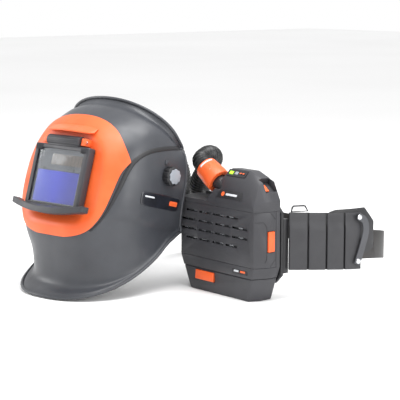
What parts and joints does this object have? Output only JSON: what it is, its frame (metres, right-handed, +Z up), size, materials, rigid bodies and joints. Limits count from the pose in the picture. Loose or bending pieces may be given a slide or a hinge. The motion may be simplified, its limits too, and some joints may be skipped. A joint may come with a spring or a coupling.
{
  "type": "powered air respirator",
  "caption": "Welding helmet with a flip-up dark filter and air-fed headgear, joined by a breathing hose to a belt-worn blower with filter and battery.",
  "frame": {"origin": "centre of the blower's flat base, on the surface that everything stands on", "axes": "+Z up; -Y out of the blower's slotted front cover; +X to the right of someone facing that cover"},
  "size_m": [0.4749, 0.5215, 0.308],
  "materials": {
    "moulded_shell_grey": "satin moulded polyamide",
    "moulded_orange": "satin moulded plastic",
    "moulded_charcoal": "finely textured moulded plastic",
    "moulded_black": "satin black moulded plastic",
    "clear_polycarbonate": "clear polished sheet",
    "filter_glass": "blue reflective welding filter",
    "bright_steel": "bright",
    "textile": "woven flame-retardant fabric",
    "foam": "soft foam",
    "pleated_media": "pleated glass-fibre paper",
    "leather": "smooth black leather",
    "rubber": "corrugated elastomer",
    "light_green": "translucent light window",
    "moulded_light_grey": "satin moulded plastic",
    "printed_board": "solder-resist",
    "cell_wrap": "shrink sleeve"
  },
  "bodies": {
    "blower": {"main_housing": "moulded_charcoal", "filter_cover": "moulded_charcoal", "spark_arrestor": "bright_steel", "prefilter": "foam", "particle_filter": "pleated_media", "filter_gasket": "rubber", "top_housing": "moulded_charcoal", "control_panel": "moulded_black", "status_light": "light_green", "fan_casing": "moulded_black", "fan_motor": "bright_steel", "outlet_socket": "moulded_black", "circuit_board": "printed_board", "back_plate": "moulded_black", "wire_loop": "moulded_black", "hip_pad_right": "moulded_black", "hip_pad_left": "moulded_black", "strap_plate_right": "moulded_black", "strap_plate_left": "moulded_black", "stay_right": "moulded_charcoal", "stay_left": "moulded_charcoal", "strap_right": "leather", "strap_left": "leather", "buckle_frame": "bright_steel", "breathing_hose": "rubber", "tilt_bolt_right": "bright_steel", "tilt_bolt_left": "bright_steel", "headband": "moulded_black", "sweatband": "foam", "crown_strap_side": "moulded_black", "crown_strap_front": "moulded_black", "ratchet_housing": "moulded_black", "side_arm_right": "moulded_black", "side_arm_left": "moulded_black", "air_duct": "moulded_black", "duct_inlet": "moulded_charcoal"},
    "fan_wheel": {"fan_impeller": "moulded_light_grey"},
    "cover_latch": {"cover_latch": "moulded_orange"},
    "battery": {"battery_case": "moulded_charcoal", "battery_lid": "moulded_black", "battery_cells": "cell_wrap"},
    "battery_latch": {"battery_latch": "moulded_orange"},
    "release_tab": {"release_tab": "moulded_orange"},
    "power_key": {"power_key": "moulded_light_grey"},
    "hose_cuff": {"hose_cuff": "moulded_orange"},
    "shield": {"helmet_shell": "moulded_shell_grey", "front_bezel": "moulded_orange", "grinding_visor": "clear_polycarbonate", "visor_clamp": "moulded_black", "flip_pin": "bright_steel", "face_seal": "textile"},
    "flip_front": {"flip_frame": "moulded_charcoal", "flip_lip": "moulded_charcoal", "cover_lens": "clear_polycarbonate", "filter_cassette": "moulded_black", "filter_glass": "filter_glass", "inner_lens": "clear_polycarbonate"},
    "tilt_knob_right": {"tilt_knob_right": "moulded_black"},
    "tilt_knob_left": {"tilt_knob_left": "moulded_black"},
    "ratchet_knob": {"ratchet_knob": "moulded_black"}
  },
  "joints": [
    {"name": "shield_tilt", "type": "hinge", "parent": "blower", "child": "shield", "pos_m": [-0.18706, -0.09221, 0.189], "axis": [-0.9903, -0.1392, 0], "range_deg": [0, 60]},
    {"name": "filter_flip", "type": "hinge", "parent": "shield", "child": "flip_front", "pos_m": [-0.17205, -0.19904, 0.24554], "axis": [-0.9903, -0.1392, 0], "range_deg": [0, 85]},
    {"name": "tilt_knob_right_turn", "type": "hinge", "parent": "blower", "child": "tilt_knob_right", "pos_m": [-0.06031, -0.0744, 0.189], "axis": [0.9903, 0.1392, 0], "continuous": true},
    {"name": "tilt_knob_left_turn", "type": "hinge", "parent": "blower", "child": "tilt_knob_left", "pos_m": [-0.31382, -0.11003, 0.189], "axis": [-0.9903, -0.1392, 0], "continuous": true},
    {"name": "ratchet_turn", "type": "hinge", "parent": "blower", "child": "ratchet_knob", "pos_m": [-0.20472, 0.03345, 0.168], "axis": [-0.1392, 0.9903, 0], "continuous": true},
    {"name": "fan_spin", "type": "hinge", "parent": "blower", "child": "fan_wheel", "pos_m": [0.032, 0, 0.169], "axis": [0, -1, 0], "continuous": true},
    {"name": "cover_latch_press", "type": "slide", "parent": "blower", "child": "cover_latch", "axis": [-1, 0, 0], "range_m": [0, 0.0015], "stiffness_N_per_m": 800},
    {"name": "battery_removal", "type": "slide", "parent": "blower", "child": "battery", "axis": [0, 0, -1], "range_m": [0, 0.06]},
    {"name": "battery_latch_press", "type": "slide", "parent": "battery", "child": "battery_latch", "axis": [0, 1, 0], "range_m": [0, 0.0015], "stiffness_N_per_m": 800},
    {"name": "release_tab_press", "type": "slide", "parent": "blower", "child": "release_tab", "axis": [-0.788, 0, 0.6157], "range_m": [0, 0.002], "stiffness_N_per_m": 500},
    {"name": "power_key_press", "type": "slide", "parent": "blower", "child": "power_key", "axis": [0, 0.7348, -0.6783], "range_m": [0, 0.001], "stiffness_N_per_m": 1000},
    {"name": "cuff_twist", "type": "hinge", "parent": "blower", "child": "hose_cuff", "pos_m": [-0.02, -0.008, 0.179], "axis": [-0.8571, 0, 0.5151], "range_deg": [0, 30]}
  ]
}
